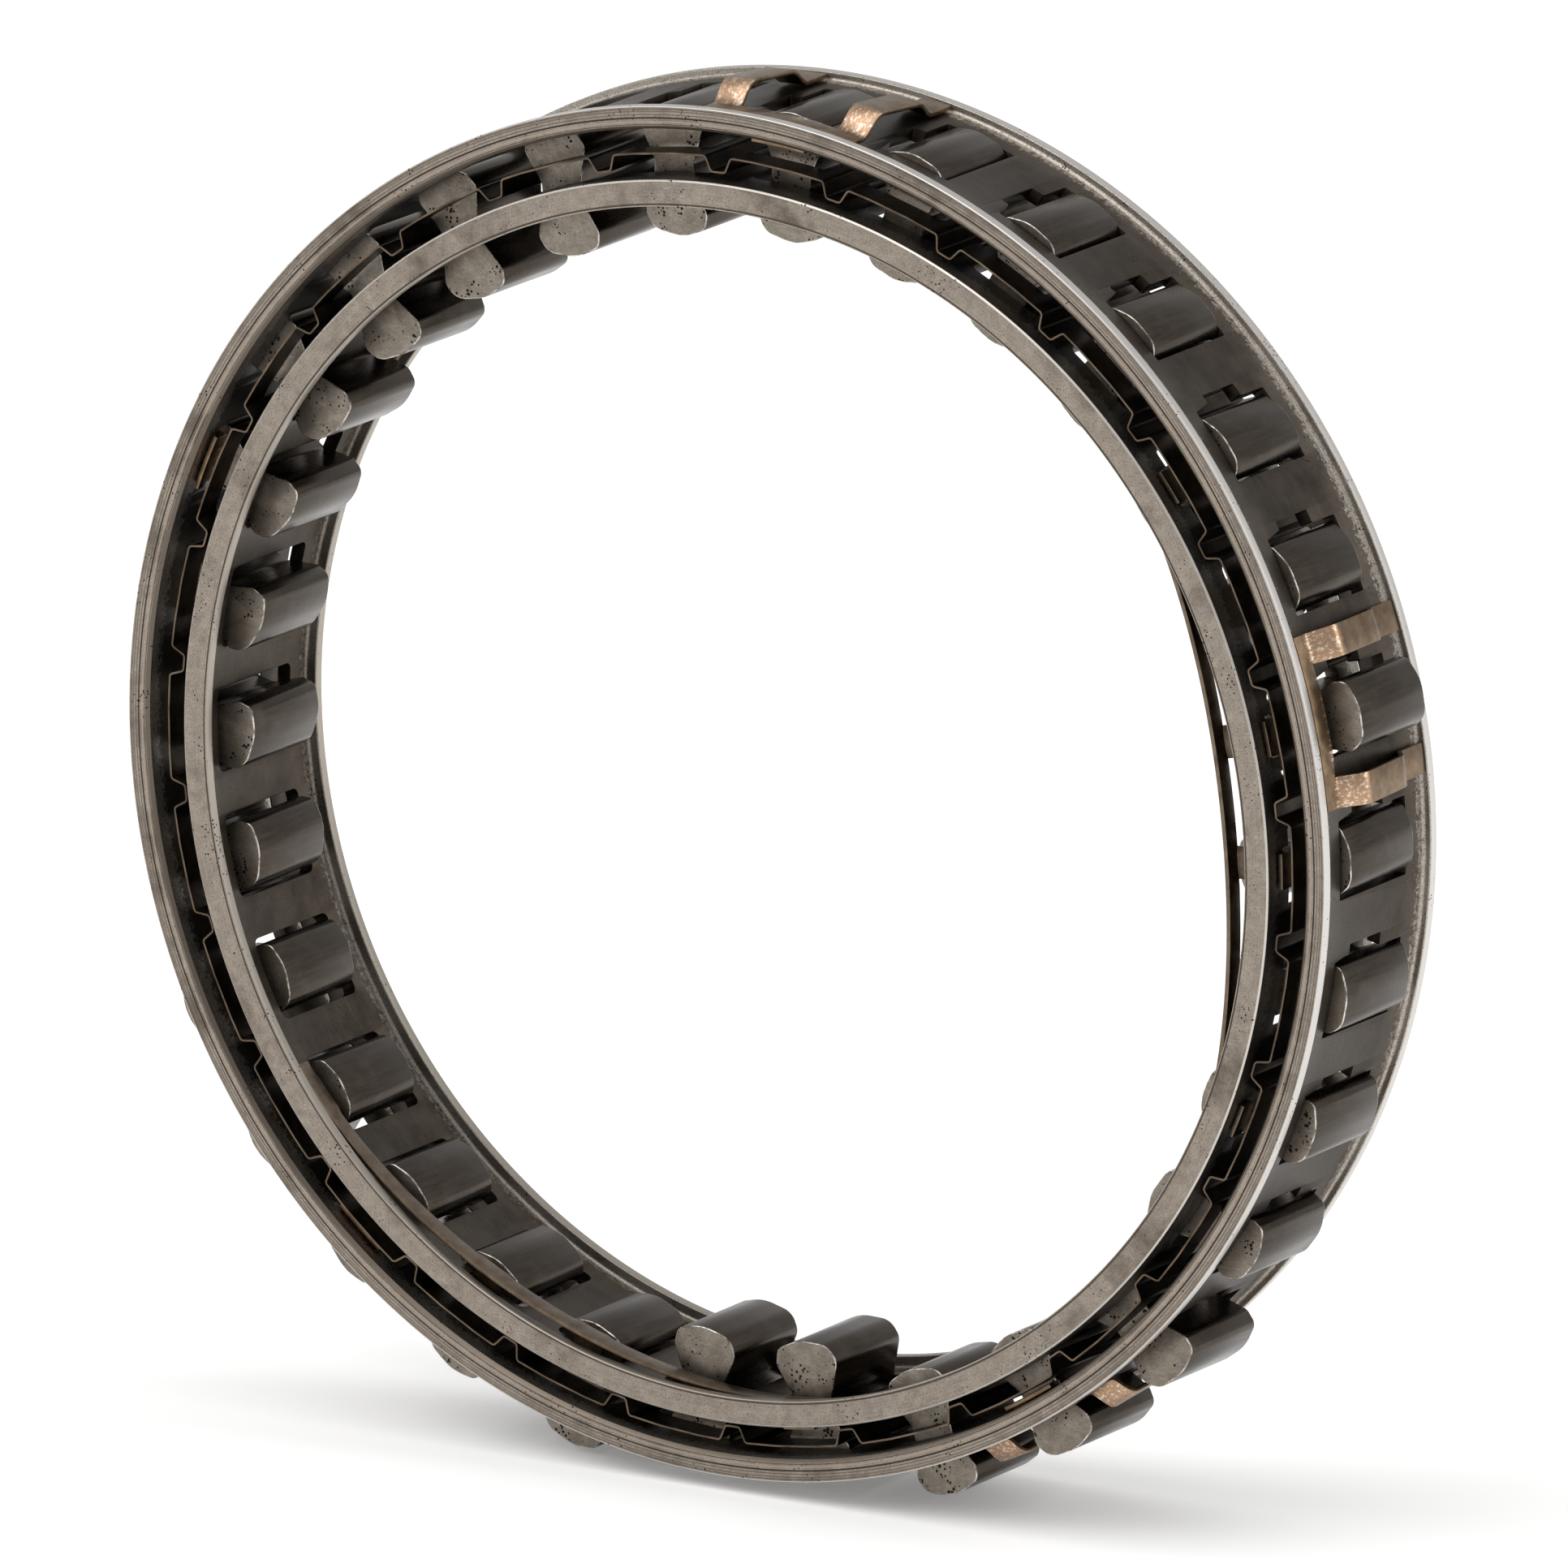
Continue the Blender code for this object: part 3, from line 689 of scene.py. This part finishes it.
def clip_bronze():
    """Worn bright at the near end of the hump, where the race rubs it."""
    return bronze("clip_bronze", rgb(0.14, 0.094, 0.058), rgb(0.26, 0.18, 0.11), (-5.1, -3.5))


def strip_bronze():
    return bronze("strip_bronze", rgb(0.115, 0.087, 0.064), rgb(0.2, 0.153, 0.112))


# ---------------------------------------------------------------- pieces


def channel(web_back, web_face, flange_edge, groove, bevel):
    """Channel section as (radius, y): web_back is the plain side, and the flanges stand past web_face."""
    towards = 1 if flange_edge > web_face else -1
    inside = HALF_WIDTH - FLANGE_THICK
    groove_floor = HALF_WIDTH - GROOVE_DEPTH
    slope = GROOVE_DEPTH / 2
    small = GROOVE_DEPTH / 6
    half = [
        (web_back, HALF_WIDTH - bevel, bevel / 3),
        (web_back + towards * bevel, HALF_WIDTH, bevel / 3),
    ]
    groove_line = [
        (groove - GROOVE_WIDTH / 2 - slope, HALF_WIDTH, small),
        (groove - GROOVE_WIDTH / 2, groove_floor, small),
        (groove + GROOVE_WIDTH / 2, groove_floor, small),
        (groove + GROOVE_WIDTH / 2 + slope, HALF_WIDTH, small),
    ]
    half += groove_line[::towards]
    half += [
        (flange_edge, HALF_WIDTH, RIM_ROUND),
        (flange_edge, inside, RIM_ROUND),
        (web_face, inside, FOLD_ROUND),
    ]
    corners = half + [(radius, -y, corner) for radius, y, corner in reversed(half)]
    return rounded(corners[::-towards], CORNER_STEPS)


def turned(name, section, location):
    bm = bmesh.new()
    verts = [bm.verts.new((radius, y, 0)) for radius, y in section]
    for index, vert in enumerate(verts):
        bm.edges.new((vert, verts[(index + 1) % len(verts)]))
    cage = add_object(name, mesh_from(bm, name), location)
    screw = cage.modifiers.new("turn", "SCREW")
    screw.axis = "Y"
    screw.angle = 2 * math.pi
    screw.steps = RING_STEPS
    screw.render_steps = RING_STEPS
    screw.use_merge_vertices = True
    screw.merge_threshold = WELD_DISTANCE
    return cage


def paint_cage(cage, rim, web):
    """The flanges' outer faces and edges take the rim finish, and all between them the web finish."""
    cage.data.materials.clear()
    cage.data.materials.append(rim)
    cage.data.materials.append(web)
    inside = HALF_WIDTH - FLANGE_THICK
    for face in cage.data.polygons:
        face.material_index = int(abs(face.center.y) < inside + RIM_ROUND)
    smooth(cage)


def build_outer_cage(rim, web):
    section = channel(OUTER_WEB_INSIDE, OUTER_WEB_OUTSIDE, OUTER_FLANGE, OUTER_GROOVE, OUTER_BACK_BEVEL)
    cage = turned("outer_cage_looks", section, (0, 0, 0))
    low, high = OUTER_WEB_INSIDE - CUTTER_REACH, OUTER_WEB_OUTSIDE + CUTTER_REACH
    end, side, notch = OUTER_WINDOW_END, OUTER_WINDOW_CCW, OUTER_WINDOW_CCW + NOTCH_DEPTH
    corners = [
        (-OUTER_WINDOW_CW, -end),
        (side, -end),
        (side + NOTCH_STEP, NOTCH_NEAR_END),
        (notch, NOTCH_NEAR_END),
        (notch, NOTCH_FAR_END),
        (side, NOTCH_FAR_END),
        (side, end),
        (-OUTER_WINDOW_CW, end),
    ]
    window = rounded([(x, y, OUTER_WINDOW_CORNER) for x, y in corners], CORNER_STEPS)
    windows = add_cutter("outer_windows", window, window_angles(), low, high)
    slot = rectangle(CLIP_TAB_HALF + SLOT_CLEARANCE, -SLOT_END, 0, SLOT_CORNER)
    slots = add_cutter("outer_slots", slot, clip_angles(), low, high)
    cut(cage, windows)
    cut(cage, slots)
    soften(cage, EDGE_WEAR)
    settled(cage, windows, slots)
    paint_cage(cage, rim, web)
    return cage


def build_inner_cage(rim, web):
    centre = (0, 0, -INNER_DROP)
    section = channel(INNER_WEB_OUTSIDE, INNER_WEB_INSIDE, INNER_FLANGE, INNER_GROOVE, INNER_BACK_BEVEL)
    cage = turned("inner_cage_looks", section, centre)
    low, high = INNER_WEB_INSIDE - CUTTER_REACH, INNER_WEB_OUTSIDE + CUTTER_REACH
    window = rectangle(INNER_WINDOW_HALF, -INNER_WINDOW_END, INNER_WINDOW_END, INNER_WINDOW_CORNER)
    windows = add_cutter("inner_windows", window, window_angles(), low, high, centre)
    slot = rectangle(STRIP_TAB_HALF + SLOT_CLEARANCE, -SLOT_END, 0, SLOT_CORNER)
    angles = [middle + steps * PITCH for middle in STRIP_CENTRES for steps in STRIP_TAB_PITCHES]
    slots = add_cutter("inner_slots", slot, angles, low, high, centre)
    cut(cage, windows)
    cut(cage, slots)
    soften(cage, EDGE_WEAR)
    settled(cage, windows, slots)
    paint_cage(cage, rim, web)
    return cage


def ribbon_outline():
    """The ribbon's section as (x, z): chords over the windows, and a rounded dip between each two."""
    corners = []
    top = DIP_HALF_TOP / RIBBON_CHORD
    foot = DIP_HALF_BOTTOM / RIBBON_DIP
    edge = RIBBON_WINDOW_HALF / RIBBON_CHORD
    for index in range(SPRAG_COUNT):
        window = window_angle(index)
        dip = window + PITCH / 2 + DIP_SHIFT
        stations = [(RIBBON_CHORD, window - edge / 2, CHORD_ROUND)]
        stations += [(RIBBON_CHORD, window + edge / 2, CHORD_ROUND)]
        stations += [(RIBBON_CHORD, dip - top, DIP_ROUND), (RIBBON_DIP, dip - foot, DIP_ROUND)]
        stations += [(RIBBON_DIP, dip + foot, DIP_ROUND), (RIBBON_CHORD, dip + top, DIP_ROUND)]
        corners += [(radius * math.cos(angle), radius * math.sin(angle), r) for radius, angle, r in stations]
    return rounded(corners, CORNER_STEPS)


def build_ribbon(skin, edge):
    """The ribbon with a skin on its faces and another finish on its two cut edges."""
    bm = bmesh.new()
    verts = [bm.verts.new((x, -RIBBON_HALF_WIDTH, z)) for x, z in ribbon_outline()]
    run = [bm.edges.new((vert, verts[(index + 1) % len(verts)])) for index, vert in enumerate(verts)]
    extrude(bm, run, shift_y(2 * RIBBON_HALF_WIDTH))
    ribbon = add_object("ribbon_spring_looks", sheet_from(bm, "ribbon_spring_looks"), RIBBON_SHIFT)
    thicken(ribbon, RIBBON_THICK)
    window = rectangle(RIBBON_WINDOW_HALF, -RIBBON_WINDOW_END, RIBBON_WINDOW_END, RIBBON_WINDOW_CORNER)
    low, high = RIBBON_DIP, RIBBON_CHORD + CUTTER_REACH
    windows = add_cutter("ribbon_windows", window, window_angles(), low, high, RIBBON_SHIFT)
    cut(ribbon, windows)
    settled(ribbon, windows)
    ribbon.data.materials.append(skin)
    ribbon.data.materials.append(edge)
    for face in ribbon.data.polygons:
        face.material_index = int(abs(face.normal.y) > CUT_EDGE_LEAN)
    smooth(ribbon)
    return ribbon


def sprag_outline():
    corners = [(x * MM, y * MM, radius * MM) for x, y, radius in HALF_PROFILE]
    corners += [(-x, -y, radius) for x, y, radius in corners]
    return rounded(corners, FILLET_STEPS)


def at_angle(stations, angle):
    """Reads stations (angle in degrees, value) at an angle, all round the ring."""
    angles, values = zip(*stations)
    return np.interp(math.degrees(angle), angles, values, period=360)


def sprag_float(index):
    """How far out the sprag has slid. The lower ones hang out to their stops, the upper ones have slid in."""
    angle = window_angle(index) % (2 * math.pi)
    if index == PROUD_SPRAG:
        return PROUD_FLOAT
    if abs(angle - SUPPORT_ANGLE) < SUPPORT_REACH:
        return SUPPORTED_FLOAT
    return MM * at_angle(FLOAT_STATIONS, angle)


def sprag_place(index):
    """Where the sprag stands: slid along its own line, shifted or leaning to meet the dropped inner cage."""
    angle = window_angle(index)
    offset = -INNER_DROP * math.cos(angle)
    out = sprag_float(index)
    shift = offset * SHIFT_SHARE * min((out / FULL_FLOAT) ** 2, 1)
    lean = -math.atan((offset - shift) / (SPRAG_PIVOT - INNER_WEB_MIDDLE))
    lean -= math.radians(at_angle(LEAN_STATIONS, angle))
    pivot = Matrix.Translation(outward(angle) * SPRAG_PIVOT) @ ring_turn(angle + lean)
    slide = Matrix.Translation((shift, 0, SPRAG_PIVOT - SPRAG_MIDDLE - out))
    return pivot @ slide @ Matrix.Rotation(math.radians(-90), 4, "X")


def sprag_finish(face):
    """0 on a flank, 1 on an end face and 2 on the bevelled edge between them, which carries a painted
    highlight.
    """
    lean = abs(face.normal.z)
    if lean < FLANK_LEAN:
        return 0
    return 1 if lean > END_LEAN else 2


def sprag_plate(*finishes):
    """The finished sprag in its own axes. Its end faces and their bevelled edges have their own finishes."""
    sprag = add_object("sprag_plate", plate_mesh("sprag_plate", sprag_outline(), SPRAG_HALF_LENGTH))
    soften(sprag, SPRAG_END_BEVEL, 3)
    settled(sprag)
    mesh = sprag.data
    for finish in finishes:
        mesh.materials.append(finish)
    for face in mesh.polygons:
        face.material_index = sprag_finish(face)
    smooth(sprag)
    bpy.data.objects.remove(sprag, do_unlink=True)
    return mesh


def build_sprags(*finishes):
    plate = sprag_plate(*finishes)
    for index in range(SPRAG_COUNT):
        name = f"sprag_{index + 1:02d}"
        mesh = plate.copy()
        mesh.transform(sprag_place(index))
        stand_for(add_object(f"{name}_looks", mesh), name, f"{name}_body")


def hump_height(distance):
    """Height of a clip's bar at a distance in mm from the near rail: straight runs with softened corners."""
    places, shares = zip(*HUMP_STATIONS)
    around = np.linspace(distance - HUMP_SOFTNESS, distance + HUMP_SOFTNESS, HUMP_SAMPLES)
    return HUMP_HEIGHT * float(np.mean(np.interp(around, places, shares)))


def clip_mesh(name, angle):
    rest = OUTER_WEB_OUTSIDE + BRONZE_GAP + BRONZE_SHEET / 2
    under = OUTER_WEB_INSIDE - BRONZE_GAP - BRONZE_SHEET / 2
    bar_middle = (BAR_INNER_EDGE + BAR_OUTER_EDGE) / 2
    half = [0, CLIP_TAB_HALF / 2, CLIP_TAB_HALF, BAR_INNER_EDGE, bar_middle, BAR_OUTER_EDGE]
    marks = [-mark for mark in reversed(half)] + half[1:]
    angles = [angle + mark / rest for mark in marks]
    bm = bmesh.new()
    near_rail = ring_run(bm, [rest] * len(marks), angles, -RAIL_OUTER_EDGE)
    near_rail = extrude(bm, near_rail, bring_to(rest, -RAIL_INNER_EDGE))
    tab = near_angle(near_rail, angle, 0, CLIP_TAB_HALF)
    tab = extrude(bm, tab, bring_to(under, -RAIL_INNER_EDGE))
    extrude(bm, tab, bring_to(under, -TAB_TIP))
    bars = near_angle(near_rail, angle, BAR_INNER_EDGE, BAR_OUTER_EDGE)
    length = 2 * RAIL_INNER_EDGE / MM
    for distance in np.linspace(0, length, BAR_STEPS + 1)[1:-1]:
        bars = extrude(bm, bars, bring_to(rest + hump_height(distance), distance * MM - RAIL_INNER_EDGE))
    bars = extrude(bm, bars, bring_to(rest, RAIL_INNER_EDGE))
    extrude(bm, bars, bring_to(rest, RAIL_OUTER_EDGE))
    return sheet_from(bm, name)


def finish_bronze(piece, finish):
    thicken(piece, BRONZE_SHEET)
    soften(piece, BRONZE_BEVEL)
    settled(piece)
    piece.data.materials.append(finish)
    smooth(piece)


def build_clips(finish):
    for number, angle in enumerate(clip_angles(), 1):
        node = f"outer_drag_clip_{number}"
        clip = add_object(f"{node}_looks", clip_mesh(node, angle))
        finish_bronze(clip, finish)
        stand_for(clip, node, "outer_cage_body")


def strip_turns():
    """Angles along a strip from its middle: its ends, both sides of each hook, and steps between them."""
    half_tab = STRIP_TAB_HALF / INNER_WEB_INSIDE
    breaks = [-STRIP_HALF_ANGLE, STRIP_HALF_ANGLE]
    for steps in STRIP_TAB_PITCHES:
        breaks += [steps * PITCH - half_tab, steps * PITCH + half_tab]
    breaks.sort()
    turns = []
    for low, high in zip(breaks, breaks[1:]):
        pieces = max(1, round((high - low) / STRIP_STEP))
        turns += [low + (high - low) * piece / pieces for piece in range(pieces)]
    return turns + [STRIP_HALF_ANGLE]


def strip_mesh(name, centre, bow, exponent):
    """The rail lies against the web at its ends and bows inwards between them."""
    rest = INNER_WEB_INSIDE - BRONZE_GAP - BRONZE_SHEET / 2
    over = INNER_WEB_OUTSIDE + BRONZE_GAP / 2 + BRONZE_SHEET / 2
    turns = strip_turns()
    rises = [0.5 + 0.5 * math.cos(math.pi * turn / STRIP_HALF_ANGLE) for turn in turns]
    radii = [rest - bow * rise**exponent for rise in rises]
    bm = bmesh.new()
    rail = ring_run(bm, radii, [centre + turn for turn in turns], -RAIL_OUTER_EDGE)
    rail = extrude(bm, rail, shift_y(RAIL_OUTER_EDGE - RAIL_INNER_EDGE))
    for steps in STRIP_TAB_PITCHES:
        hook = near_angle(rail, centre + steps * PITCH, 0, STRIP_TAB_HALF)
        hook = extrude(bm, hook, bring_to(over, -RAIL_INNER_EDGE))
        extrude(bm, hook, bring_to(over, -TAB_TIP))
    return sheet_from(bm, name)


def build_strips(finish):
    for number, (centre, bow) in enumerate(zip(STRIP_CENTRES, STRIP_BOWS), 1):
        node = f"inner_drag_strip_{number}"
        strip = add_object(f"{node}_looks", strip_mesh(node, centre, *bow), (0, 0, -INNER_DROP))
        finish_bronze(strip, finish)
        stand_for(strip, node, "inner_cage_body")


def stand_for(piece, node, body):
    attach(piece, body)
    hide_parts(node)


def build_pieces():
    stand_for(build_outer_cage(outer_rim(), outer_web()), "outer_cage", "outer_cage_body")
    stand_for(build_inner_cage(inner_rim(), inner_web()), "inner_cage", "inner_cage_body")
    stand_for(build_ribbon(ribbon_skin(), ribbon_edge()), "ribbon_spring", "ribbon_body")
    build_sprags(sprag_side_steel(), sprag_end_steel(), sprag_edge_highlight())
    build_clips(clip_bronze())
    build_strips(strip_bronze())


# ---------------------------------------------------------------- stage


def add_floor(height):
    bm = bmesh.new()
    bmesh.ops.create_grid(bm, x_segments=1, y_segments=1, size=FLOOR_SIDE / 2)
    floor = add_object("floor", mesh_from(bm, "floor"), (0, 0, height))
    material = bpy.data.materials.new("floor_paint")
    material.use_nodes = True
    shader = material.node_tree.nodes["Principled BSDF"]
    shader.inputs["Base Color"].default_value = FLOOR_COLOUR
    shader.inputs["Roughness"].default_value = 0.9
    shader.inputs["Specular IOR Level"].default_value = 0.1
    shader.inputs["Emission Color"].default_value = FLOOR_COLOUR
    shader.inputs["Emission Strength"].default_value = FLOOR_GLOW
    floor.data.materials.append(material)


def aim(obj, azimuth, elevation, distance):
    """Puts the object at the azimuth and elevation round the origin, looking at it."""
    level = math.cos(elevation)
    back = Vector((math.sin(azimuth) * level, -math.cos(azimuth) * level, math.sin(elevation)))
    obj.location = back * distance
    obj.rotation_euler = (-back).to_track_quat("-Z", "Y").to_euler()


def add_softbox(name, azimuth, elevation, distance, width, height, brightness):
    """A rectangular area light of the given brightness, however large it is."""
    light = bpy.data.lights.new(name, "AREA")
    light.shape = "RECTANGLE"
    light.size = width
    light.size_y = height
    light.energy = brightness * math.pi * width * height
    aim(add_object(name, light), math.radians(azimuth), math.radians(elevation), distance)


def add_sky():
    world = bpy.data.worlds.new("studio")
    world.use_nodes = True
    world.node_tree.nodes["Background"].inputs["Color"].default_value = (1.0, 1.0, 1.0, 1.0)
    world.node_tree.nodes["Background"].inputs["Strength"].default_value = SKY_STRENGTH
    bpy.context.scene.world = world


def add_camera():
    camera = add_object("camera", bpy.data.cameras.new("camera"))
    camera.data.lens = VIEW_LENS
    camera.data.shift_x, camera.data.shift_y = VIEW_SHIFT
    camera.data.clip_end = 100.0
    aim(camera, VIEW_AZIMUTH, VIEW_ELEVATION, VIEW_DISTANCE)
    camera.rotation_euler.rotate_axis("Z", VIEW_ROLL)
    bpy.context.scene.camera = camera


def build_stage(lowest):
    add_floor(lowest - FLOOR_GAP)
    add_sky()
    for softbox in SOFTBOXES:
        add_softbox(*softbox)
    add_camera()


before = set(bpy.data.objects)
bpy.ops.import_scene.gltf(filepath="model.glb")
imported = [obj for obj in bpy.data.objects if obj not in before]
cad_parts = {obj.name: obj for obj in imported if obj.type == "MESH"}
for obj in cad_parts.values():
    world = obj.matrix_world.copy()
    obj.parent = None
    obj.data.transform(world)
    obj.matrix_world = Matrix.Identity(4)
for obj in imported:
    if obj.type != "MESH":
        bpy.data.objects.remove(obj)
cad_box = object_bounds()
bpy.context.scene.view_settings.view_transform = "Standard"
build_pieces()
build_stage(cad_box[0].z)
